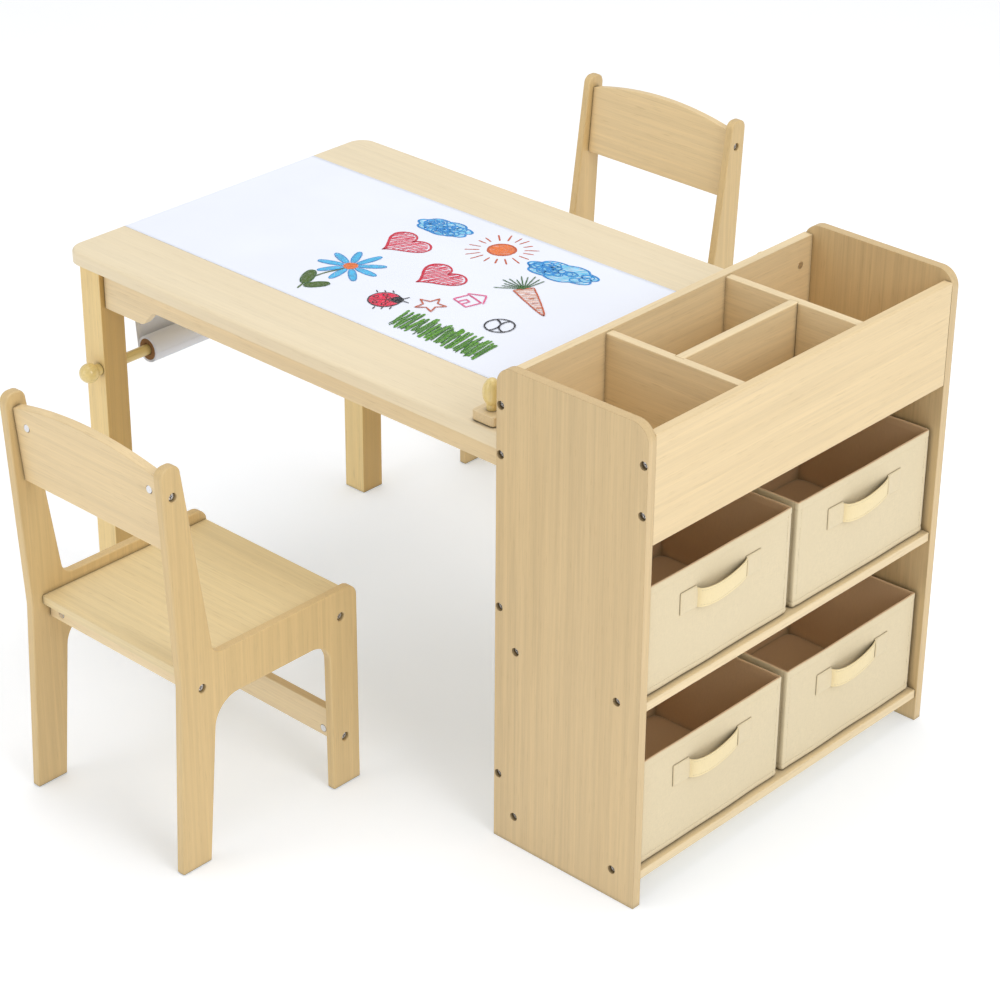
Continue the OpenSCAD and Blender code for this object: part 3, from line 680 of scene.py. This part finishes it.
def drawn_items(rng):
    """The doodles: (name, colour, column, row, turn, line width, strokes), with sizes in mm."""
    red, deep_red, pink, black = srgb(232, 34, 74), srgb(204, 10, 50), srgb(232, 84, 140), srgb(10, 8, 14)
    blue, deep_blue, pale_blue = srgb(70, 186, 236), srgb(14, 132, 208), srgb(112, 208, 246)
    orange, deep_orange, peach = srgb(236, 118, 40), srgb(196, 82, 22), srgb(246, 186, 150)
    green, deep_green, leaf_green = srgb(84, 146, 12), srgb(38, 92, 8), srgb(70, 98, 12)
    petals = [shifted(leaf(rng.uniform(32, 38), 10), *shifted([(9, 0)], 0, 0, a)[0], a)
              for a in range(0, 360, 40)]
    petal_fill = [stroke for petal in petals for stroke in hatch(petal, 1.7, rng.uniform(0, 180), rng)]
    rays = [shifted([(28, 0), (rng.uniform(40, 48), 0)], 0, 0, a + rng.uniform(-3, 3))
            for a in range(0, 360, 20)]
    items = [("sun", orange, 1.5, 2, 0, 2.1, hatch(ring(18, 30), 2.2, 35, rng)),
             ("sun_lines", deep_orange, 1.5, 2, 0, 2.2, [ring(18, 30), ring(17, 30)] + rays)]
    for side, column, length, height in (("left", 2.5, 80, 44), ("right", 0.5, 100, 50)):
        cloud = lumpy(length, height)
        items += [("cloud_" + side, pale_blue, column, 2, 8, 2.3, hatch(cloud, 3.6, 50, rng)),
                  ("cloud_lines_" + side, deep_blue, column, 2, 8, 2.0,
                   [cloud, shifted(cloud, 0.8, 0.6)] + loops(length * 0.86, height * 0.8, rng))]
    for side, column, row in (("left", 2.5, 0.75), ("right", 1.5, 0)):
        items += [("heart_" + side, red, column, row, -15, 2.1, hatch(heart(32, 29), 4.0, 82, rng)),
                  ("heart_lines_" + side, deep_red, column, row, -15, 2.4,
                   [heart(35, 32), shifted(heart(34, 31), 0.6, 0.3)])]
    stem = [(-10 * math.sin(math.pi * i / 8), -10 - 10 * i) for i in range(9)]
    leaves = [shifted(leaf(40, 16), -5, -75, 120), shifted(leaf(32, 15), 0, -80, 55)]
    body = ring(20, 36)
    spots = [ring(3, 14, 1, (x, side * y)) for x, y in ((-11, 8), (0, 13), (4, 5)) for side in (1, -1)]
    legs = [[(x, side * 20), (x - 2, side * 27)] for x in (-10, 0, 10) for side in (1, -1)]
    feelers = [[(22, side * 3), (30, side * 8)] for side in (1, -1)]
    root = tapered(80, 26)
    specks = [[(x, -3), (x + 2, 4)] for x in (14, 28, 42, 56)]
    tuft = [[(0, 0), shifted([(rng.uniform(28, 40), 0)], 0, 0, a)[0]] for a in range(115, 246, 13)]
    house = [[(-14, -14), (14, -14), (14, 8), (-14, 8), (-14, -14)], [(-18, 8), (0, 24), (18, 8)],
             [(-4, -14), (-4, -2), (4, -2), (4, -14)]]
    stripes = [arc(18, -60, 60, (-18, 0)), arc(18, 120, 240, (18, 0))]
    items += [
        ("flower_petals", blue, 2.5, -1, 0, 1.7, petal_fill),
        ("flower_lines", deep_blue, 2.5, -1, 0, 1.1, petals),
        ("flower_middle", orange, 2.5, -1, 0, 1.9, hatch(ring(8, 20), 1.9, 20, rng) + [ring(8.5, 20)]),
        ("flower_stem", leaf_green, 2.5, -1, 0, 2.4, [stem]),
        ("flower_leaves", leaf_green, 2.5, -1, 0, 2.2,
         [line for one in leaves for line in hatch(one, 2, 60, rng)]),
        ("flower_leaf_lines", deep_green, 2.5, -1, 0, 1.4, leaves),
        ("grass", green, 1, -2.5, 0, 3.6, blades(140, 40, -6, 40, rng)),
        ("grass_shade", deep_green, 1, -2.5, 0, 1.5, blades(140, 36, -6, 34, rng)),
        ("bug", red, 1.5, -1.75, 40, 2.4, hatch(body, 2.2, 15, rng)),
        ("bug_lines", black, 1.5, -1.75, 40, 1.6, [body, [(-20, 0), (12, 0)]] + spots + legs + feelers
         + hatch(ring(9, 20, 1, (15, 0)), 1.4, 0, rng)),
        ("carrot", peach, 0.5, 0.75, -30, 1.6, hatch(root, 4.5, 70, rng)),
        ("carrot_lines", deep_orange, 0.5, 0.75, -30, 2.0, [root] + specks),
        ("carrot_leaves", deep_green, 0.5, 0.75, -30, 1.6, tuft),
        ("house", pink, 0.75, -0.5, -15, 2.0, house),
        ("star", deep_orange, 1, -1.25, 10, 2.0, [star(20)]),
        ("ball", black, 0, -1, 25, 2.0, [ring(18, 32)] + stripes)]
    return items


def make_drawing(sheet_top):
    """The doodles' strokes as flat crayon strips on the paper."""
    rng = random.Random(11)
    top_low, top_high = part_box("tabletop")
    shelf_end, middle = top_high.x, (top_low.y + top_high.y) / 2
    made = []
    for number, (name, colour, column, row, turn, width, strokes) in enumerate(drawn_items(rng)):
        x0, y0 = FIRST_COLUMN - COLUMN * column, ROW * row
        turned = Matrix.Rotation(math.radians(turn), 2)
        verts, faces = [], []
        height = sheet_top + (0.03 + 0.035 * number) * MM
        for stroke_number, stroke in enumerate(strokes):
            points = resample([turned @ Vector(p) for p in stroke], 2.2)
            base = len(verts)
            for i, p in enumerate(points):
                before, after = points[max(i - 1, 0)], points[min(i + 1, len(points) - 1)]
                direction = (after - before)
                direction = direction.normalized() if direction.length > 1e-6 else Vector((1, 0))
                normal = Vector((-direction.y, direction.x))
                wobble = 0.35 * noise.noise(Vector((p.x * 0.3, p.y * 0.3, number + stroke_number * 0.37)))
                taper = 0.55 if i in (0, len(points) - 1) else 1.0
                uneven = 0.35 * noise.noise(Vector((p.x * 0.9, p.y * 0.9, number * 2.0)))
                half = width / 2 * taper * (1 + uneven)
                for sign in (1, -1):
                    q = p + normal * (wobble + sign * half)
                    verts.append((shelf_end + (x0 + q.x) * MM, middle + (y0 + q.y) * MM,
                                  height + 0.004 * MM * (stroke_number % 8)))
            for i in range(len(points) - 1):
                a = base + 2 * i
                faces.append((a, a + 1, a + 3, a + 2))
        drawn = piece("drawing_" + name, verts, faces, [crayon("crayon_" + name, colour)])
        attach(drawn, "table")
        made.append(drawn)
    return made


def resample(points, step):
    """The same polyline with points no further apart than a step."""
    result = [points[0]]
    for a, b in zip(points, points[1:]):
        count = max(1, round((b - a).length / step))
        result += [a.lerp(b, k / count) for k in range(1, count + 1)]
    return result


# ---- fabric bins

CORNER_R = 5 * MM
HEM = 9 * MM
FOOT_SEAM = 8 * MM
STRAP_W = 24 * MM
STRAP_T = 1.5 * MM
STRAP_FREE = 88 * MM
STRAP_BOW = 11 * MM
PATCH_L = 26 * MM
STRAP_Z = 95 * MM
PATCH_H = STRAP_W + 3 * MM
PATCH_START = STRAP_FREE / 2 - 0.5 * MM  # from the middle of the wall
PATCH_SEAM = 2.2 * MM  # from the patch's edge
SIDE_SEAM = 6.6 * MM  # from the corner
DRAWN_H = 138 * MM  # the height that the rows of a bin are given for
SET_BACK = 0.9 * MM  # of the flat wall inside the bin's box
THREAD_RISE = 0.12 * MM


def side_marks(length):
    """Places along a wall, close together near its ends where the seams are."""
    near = [0.0, 0.8, 1.6, 2.4, 3.2, 4.0, 4.8, 5.8, 7.4, 10.0, 14.0]
    near = [n * MM for n in near]
    middle = 14
    inner = [near[-1] + (length - 2 * near[-1]) * k / middle for k in range(1, middle)]
    return near + inner + [length - n for n in reversed(near)]


def outline(depth, width):
    """A rounded rectangle as (x, y, nx, ny, u, d, wall).

    u runs from -1 to 1 along its wall, and d is the distance from the corner's middle.
    """
    points = []
    hx, hy = depth / 2 - CORNER_R, width / 2 - CORNER_R
    walls = [((hx + CORNER_R, -hy), (0, 1), (1, 0), 2 * hy),
             ((hx, hy + CORNER_R), (-1, 0), (0, 1), 2 * hx),
             ((-hx - CORNER_R, hy), (0, -1), (-1, 0), 2 * hy),
             ((-hx, -hy - CORNER_R), (1, 0), (0, -1), 2 * hx)]
    quarter = math.pi / 2 * CORNER_R
    for k, (start, way, normal, length) in enumerate(walls):
        for mark in side_marks(length):
            near = min(mark, length - mark) + quarter / 2
            points.append((start[0] + way[0] * mark, start[1] + way[1] * mark, normal[0], normal[1],
                           2 * mark / length - 1, near, k))
        centre = ((hx, hy), (-hx, hy), (-hx, -hy), (hx, -hy))[k]
        for i in range(1, 6):
            a = math.pi / 2 * (k + i / 6)
            points.append((centre[0] + CORNER_R * math.cos(a), centre[1] + CORNER_R * math.sin(a),
                           math.cos(a), math.sin(a), 1.0, abs(i / 6 - 0.5) * quarter, k))
    return points


def wall_relief(u, d, wall, z, height, seed):
    """How far the outer fabric stands out from its flat wall at a place: bow, slack, seams and hem."""
    t = z / height
    belly = 1.3 * MM * (1 - u * u) * math.sin(math.pi * min(1, t * 0.9 + 0.05)) ** 0.8
    slack = 0.8 * MM * noise.noise(Vector((u * 2.1 + seed, t * 2.3, wall * 3.7 + seed)))
    slack *= min(1.0, d / (14 * MM))
    inward = -1.1 * MM * (1 - u * u) * max(0.0, t - 0.8) / 0.2
    ridge = 0.75 * MM * bell(d, 1.1 * MM) if z > 3 * MM else 0.0
    stitched = -0.42 * MM * bell(d - SIDE_SEAM, 0.9 * MM)
    foot = -0.5 * MM * bell(z - FOOT_SEAM, 0.9 * MM) + 0.35 * MM * bell(z - FOOT_SEAM * 0.5, 2.2 * MM)
    hem_edge = height - HEM
    hem = -0.32 * MM * bell(z - hem_edge, 0.8 * MM) + (0.25 * MM if z > hem_edge else 0.0)
    pucker = 0.22 * MM * math.sin(z * 900 + seed) * bell(d - SIDE_SEAM, 3.5 * MM)
    return belly + slack + inward + ridge + stitched + foot + hem + pucker


def rim_dip(u, wall, seed):
    """How far the rim hangs below the corners."""
    return 1.3 * MM * (1 - u * u) + 0.5 * MM * noise.noise(Vector((u * 1.7, wall * 5.1 + seed, seed)))


class Bin:
    """One sewn bin, built in the CAD box of the node that it replaces."""

    def __init__(self, name, seed, materials):
        self.name, self.seed = name, seed
        self.outer, self.lining, self.thread, self.board, self.webbing = materials
        self.low, self.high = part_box(name)
        self.centre = (self.low + self.high) / 2
        self.depth, self.width = self.high.x - self.low.x, self.high.y - self.low.y
        self.height = self.high.z - self.low.z
        self.ring = outline(self.depth, self.width)
        self.thick = 3 * MM

    def at(self, x, y, z):
        return (self.centre.x + x, self.centre.y + y, self.low.z + z)

    def row(self, z, inset=0.0, relief=1.0):
        row = []
        for p in self.ring:
            x, y, nx, ny, u, d, wall = p
            top = z - rim_dip(u, wall, self.seed) * max(0.0, z / self.height) ** 3
            out = (wall_relief(u, d, wall, z, self.height, self.seed) * relief) - SET_BACK - inset
            row.append(self.at(x + nx * out, y + ny * out, top))
        return row

    def shell(self):
        h = self.height
        outside = [0.0, 0.5, 1.4, 2.6, 4.0, 5.4, 6.6, 7.4, 8.0, 8.7, 9.6, 12.0, 17.0, 24.0, 32.0, 42.0, 52.0,
                   62.0, 72.0, 82.0, 92.0, 101.0, 109.0, 116.0, 122.0, 126.0, 127.8, 128.6, 129.2, 130.0,
                   131.5, 134.0, 136.4]
        outside = [z * MM * h / DRAWN_H for z in outside]
        rows, slots = [], []
        bottom_r = 2.4 * MM
        rows.append([self.at(0, 0, 0.25 * MM)] * len(self.ring))
        rows.append(self.row(0.1 * MM, inset=30 * MM, relief=0.0))
        rows.append(self.row(0.0, inset=bottom_r, relief=0.3))
        for z in outside[1:]:
            inset = bottom_r * max(0.0, 1 - z / bottom_r) ** 2
            rows.append(self.row(z, inset))
        outer_rows = len(rows)
        for rise, inset in ((137.4, 0.35), (137.9, 1.0), (138.0, 1.6), (137.8, 2.2), (137.2, 2.7)):
            rows.append(self.row(rise * MM * h / DRAWN_H, inset * MM))
        for z in (135.0, 131.0, 129.0, 127.0, 118.0, 104.0, 88.0, 70.0, 52.0, 34.0, 18.0, 10.0, 6.5, 5.2):
            inset = self.thick + (1.2 * MM if z < 7 else 0.0)
            rows.append(self.row(z * MM * h / DRAWN_H, inset, 0.5))
        rows.append(self.row(4.6 * MM, inset=40 * MM, relief=0.0))
        rows.append([self.at(0, 0, 4.4 * MM)] * len(self.ring))
        verts, faces = lofted(rows, closed=True)
        for r in range(len(rows) - 1):
            slots += [0 if r < outer_rows else 1] * len(self.ring)
        shell = piece(self.name + "_sewn_shell", verts, faces, [self.outer, self.lining], slots)
        tidy(shell)
        self.keep(shell, self.name)
        return shell

    def keep(self, obj, *nodes):
        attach(obj, self.name)
        if nodes:
            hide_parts(*nodes)

    def face_x(self, y, z):
        """The outer face's x at a place on the front wall."""
        hy = self.width / 2 - CORNER_R
        u = max(-1.0, min(1.0, y / hy))
        d = (hy - abs(y)) + math.pi / 4 * CORNER_R
        return self.depth / 2 - SET_BACK + wall_relief(u, d, 0, z, self.height, self.seed)

    def strap_place(self, y, v):
        """A point on the strap's outer face: y along it, v from -1 at the lower edge to 1."""
        half = STRAP_FREE / 2
        part = (y / half + 1) / 2
        bow = math.sin(math.pi * part ** 0.62) ** 0.6 if 0 < part < 1 else 0.0
        z = STRAP_Z + v * STRAP_W / 2 - 1.4 * MM * bow * bow
        x = self.depth / 2 + 0.55 * MM + STRAP_BOW * bow * (0.93 + 0.07 * v)
        crown = 0.5 * MM * (1 - v * v) * bow
        edge = 0.18 * MM * bell(abs(v) - 0.93, 0.06) - 0.22 * MM * bell(abs(v) - 0.78, 0.05)
        return x + crown + edge + STRAP_T * 0.6, y, z

    def strap(self):
        upper = [0.2, 0.4, 0.6, 0.72, 0.78, 0.84, 0.9, 0.95, 0.985, 1]
        vs = [-v for v in reversed(upper)] + [0] + upper
        span = STRAP_FREE / 2 + 8 * MM
        count = 72
        rows = []
        for i in range(count + 1):
            y = span * (2 * i / count - 1)
            outer = [self.strap_place(y, v) for v in vs]
            before, after = self.strap_place(y - 0.2 * MM, 0), self.strap_place(y + 0.2 * MM, 0)
            way = Vector((after[0] - before[0], after[1] - before[1], 0)).normalized()
            back = Vector((-way.y, way.x, 0)) * STRAP_T
            front = [Vector(p) for p in outer]
            rear = [p + back for p in front]
            rows.append([self.at(*p) for p in front + list(reversed(rear))])
        verts, faces = lofted(rows, closed=True)
        width = len(rows[0])
        for start in (0, len(rows) - 1):
            faces.append(tuple(start * width + (c if start else width - 1 - c) for c in range(width)))
        strap = piece(self.name + "_handle_strap", verts, faces, [self.webbing])
        tidy(strap)
        self.keep(strap, self.name + "_handle")

    def patches(self):
        """The sewn rectangles that hold the strap's ends, one mesh for both."""
        verts, faces = [], []
        marks = [0, 0.03, 0.07, 0.11, 0.15, 0.3, 0.5, 0.7, 0.85, 0.89, 0.93, 0.97, 1]
        for sign in (-1, 1):
            rows = []
            for a in marks:
                row = []
                for b in marks:
                    y = sign * (PATCH_START + PATCH_L * a)
                    z = STRAP_Z + (b - 0.5) * PATCH_H
                    near = min(min(a, 1 - a) * PATCH_L, min(b, 1 - b) * PATCH_H)
                    rise = 1.0 * MM * (1 - bell(near, 0.7 * MM))
                    rise -= 0.4 * MM * bell(near - PATCH_SEAM, 0.6 * MM)
                    inner = 1.9 * MM * bell(a * PATCH_L, 5 * MM) * (1 - abs(2 * b - 1) ** 6)
                    row.append(self.at(self.face_x(y, z) + 0.15 * MM + rise + inner, y, z))
                rows.append(row)
            part, quads = lofted(rows)
            base = len(verts)
            verts += part
            faces += [tuple(base + i for i in (f if sign > 0 else reversed(f))) for f in quads]
        patch = piece(self.name + "_handle_patches", verts, faces, [self.outer])
        thicken(patch, 0.8 * MM, -1)
        self.keep(patch)

    def wall_thread(self, p, z):
        """A place for thread on the outer wall, as (point, normal)."""
        x, y, nx, ny, u, d, wall = p
        out = wall_relief(u, d, wall, z, self.height, self.seed) - SET_BACK + THREAD_RISE
        drop = rim_dip(u, wall, self.seed) * (z / self.height) ** 3
        return Vector((x + nx * out, y + ny * out, z - drop)), Vector((nx, ny, 0))

    def stitches(self):
        """Thread: hem, foot seam, corner seams, strap edges and patches."""
        dashes = []
        pitch = 3.4 * MM
        for z in (self.height - HEM, FOOT_SEAM):
            line = [self.wall_thread(p, z) for p in self.ring]
            dashes += dashed(line + line[:1], pitch)
        low, rise = FOOT_SEAM + 2 * MM, self.height - HEM - FOOT_SEAM - 4 * MM
        for p in self.ring:
            nx, ny, d = p[2], p[3], p[5]
            if abs(d - SIDE_SEAM) < 0.45 * MM and abs(nx * ny) < 0.01:
                dashes += dashed([self.wall_thread(p, low + rise * k / 39) for k in range(40)], pitch)
        for v in (-0.78, 0.78):
            line = []
            for k in range(61):
                y = (STRAP_FREE / 2 - 2 * MM) * (2 * k / 60 - 1)
                a, b = self.strap_place(y - 0.2 * MM, v), self.strap_place(y + 0.2 * MM, v)
                way = Vector((b[0] - a[0], b[1] - a[1], 0)).normalized()
                normal = Vector((way.y, -way.x, 0))
                line.append((Vector(self.strap_place(y, v)) + normal * THREAD_RISE, normal))
            dashes += dashed(line, pitch)
        for sign in (-1, 1):
            near, far = PATCH_START + PATCH_SEAM, PATCH_START + PATCH_L - PATCH_SEAM
            half = PATCH_H / 2 - PATCH_SEAM
            corners = [(near, -half), (far, -half), (far, half), (near, half), (near, -half)]
            line = []
            for (y0, z0), (y1, z1) in zip(corners, corners[1:]):
                for k in range(12):
                    y, z = sign * (y0 + (y1 - y0) * k / 12), STRAP_Z + z0 + (z1 - z0) * k / 12
                    inner = 1.9 * MM * bell(abs(y) - PATCH_START, 5 * MM)
                    line.append((Vector((self.face_x(y, z) + 0.85 * MM + inner, y, z)), Vector((1, 0, 0))))
            dashes += dashed(line, pitch)
        verts, faces = [], []
        for centre, way, normal in dashes:
            add_stitch(verts, faces, centre, way, normal, 2.3 * MM, 0.42 * MM)
        verts = [self.at(*v) for v in verts]
        self.keep(piece(self.name + "_stitches", verts, faces, [self.thread]))

    def floor_board(self):
        """The stiffener in the bin's bottom, under a loose fabric cover with a rolled edge."""
        low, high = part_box(self.name + "_base")
        hx, hy = (high.x - low.x) / 2, (high.y - low.y) / 2
        rows = []
        profile = [(0.0, 0.0), (0.97, 0.0), (0.995, 0.25), (1.0, 0.5), (0.995, 0.78), (0.98, 0.95),
                   (0.955, 1.0), (0.94, 0.9), (0.92, 0.97), (0.75, 1.0), (0.5, 1.0), (0.25, 1.0), (0.0, 1.0)]
        rounded = 96
        for scale, level in profile:
            row = []
            for i in range(rounded):
                a = 2 * math.pi * i / rounded
                # a superellipse keeps straight sides and small corner radii
                c, s = math.cos(a), math.sin(a)
                x = math.copysign(abs(c) ** 0.12, c) * hx * scale
                y = math.copysign(abs(s) ** 0.12, s) * hy * scale
                wave = 0.25 * MM * noise.noise(Vector((x * 30, y * 30, self.seed))) * level
                row.append(((low.x + high.x) / 2 + x, (low.y + high.y) / 2 + y,
                            low.z + 1.7 * MM + (high.z - low.z) * level + wave))
            rows.append(row)
        verts, faces = lofted(rows, closed=True)
        board = piece(self.name + "_covered_board", verts, faces, [self.board])
        tidy(board)
        self.keep(board, self.name + "_base")


def tidy(obj):
    """Merges doubled points and turns every face outwards."""
    mesh = bmesh.new()
    mesh.from_mesh(obj.data)
    bmesh.ops.remove_doubles(mesh, verts=mesh.verts, dist=0.00001)
    bmesh.ops.dissolve_degenerate(mesh, edges=mesh.edges, dist=0.000001)
    bmesh.ops.recalc_face_normals(mesh, faces=mesh.faces)
    mesh.to_mesh(obj.data)
    mesh.free()
    obj.data.polygons.foreach_set("use_smooth", [True] * len(obj.data.polygons))


def dashed(line, pitch):
    """Evenly spaced (centre, direction, normal) along a line of (point, normal)."""
    result = []
    carried = pitch / 2
    for (a, na), (b, nb) in zip(line, line[1:]):
        length = (b - a).length
        if length < 1e-9:
            continue
        while carried < length:
            t = carried / length
            result.append((a.lerp(b, t), (b - a).normalized(), na.lerp(nb, t).normalized()))
            carried += pitch
        carried -= length
    return result


def add_stitch(verts, faces, centre, way, normal, length, thickness):
    """One short thread: a tapered tube of two rings and two tips."""
    side = way.cross(normal).normalized()
    base = len(verts)
    sides = 5
    verts.append(centre - way * length / 2 - normal * thickness * 0.5)
    for along_way in (-0.28, 0.28):
        for i in range(sides):
            a = 2 * math.pi * i / sides
            verts.append(centre + way * length * along_way + side * thickness / 2 * math.cos(a)
                         + normal * thickness / 2 * math.sin(a))
    verts.append(centre + way * length / 2 - normal * thickness * 0.5)
    tip = base + 1 + 2 * sides
    for i in range(sides):
        j = (i + 1) % sides
        faces.append((base, base + 1 + j, base + 1 + i))
        faces.append((base + 1 + i, base + 1 + j, base + 1 + sides + j, base + 1 + sides + i))
        faces.append((tip, base + 1 + sides + i, base + 1 + sides + j))


def make_bins():
    materials = (canvas("bin_canvas", CANVAS), canvas("bin_lining", LINING, 7.0),
                 canvas("bin_thread", THREAD, 3.0), canvas("bin_board_cover", shade(LINING, 0.92), 5.0),
                 canvas("bin_strap", STRAP, 9.0))
    for seed, name in enumerate(("bin_upper_front", "bin_upper_back", "bin_lower_front", "bin_lower_back")):
        sewn = Bin(name, 1.37 * (seed + 1), materials)
        sewn.shell()
        sewn.strap()
        sewn.patches()
        sewn.stitches()
        sewn.floor_board()


# ---- stage, light and camera


def make_stage():
    size, steps = 14.0, 14
    rows = [[(size * (2 * i / steps - 1), size * (2 * j / steps - 1), 0.0) for i in range(steps + 1)]
            for j in range(steps + 1)]
    verts, faces = lofted(rows)
    floor = piece("studio_floor", verts, faces, [plain_floor("studio_floor_white")])


def area_light(name, place, target, size, power):
    data = bpy.data.lights.new(name, "AREA")
    data.shape = "DISK"
    data.size = size
    data.energy = power
    light = bpy.data.objects.new(name, data)
    light.location = place
    light.rotation_euler = (Vector(target) - Vector(place)).to_track_quat("-Z", "Y").to_euler()
    bpy.context.scene.collection.objects.link(light)


def make_lights():
    world = bpy.data.worlds.new("studio")
    world.use_nodes = True
    background = world.node_tree.nodes["Background"]
    background.inputs["Color"].default_value = (1.0, 1.0, 1.0, 1.0)
    background.inputs["Strength"].default_value = 0.62
    bpy.context.scene.world = world
    middle = (0.0, 0.0, 0.35)
    area_light("key", (3.4, -0.6, 2.6), middle, 2.2, 46)
    area_light("top", (-0.3, 0.4, 3.6), middle, 3.0, 36)
    area_light("fill", (-1.2, -3.8, 2.0), middle, 2.6, 22)


def make_camera():
    data = bpy.data.cameras.new("camera")
    data.sensor_width = 36.0
    data.lens = 103.35
    camera = bpy.data.objects.new("camera", data)
    forward = Vector((-0.59616, 0.64431, -0.47902))
    roll = 0.0074
    camera.location = (2.1430, -2.3367, 1.9527)
    level = forward.to_track_quat("-Z", "Y").to_matrix()
    camera.rotation_euler = (level @ Matrix.Rotation(roll, 3, "Z")).to_euler()
    bpy.context.scene.collection.objects.link(camera)
    bpy.context.scene.camera = camera


def main():
    make_camera()
    make_lights()
    make_stage()
    finish_nodes()
    sheet, length, width, sheet_top = make_paper()
    drawing = make_drawing(sheet_top)
    make_bins()
    view = bpy.context.scene.view_settings
    view.view_transform = "Standard"
    view.look = "None"


main()
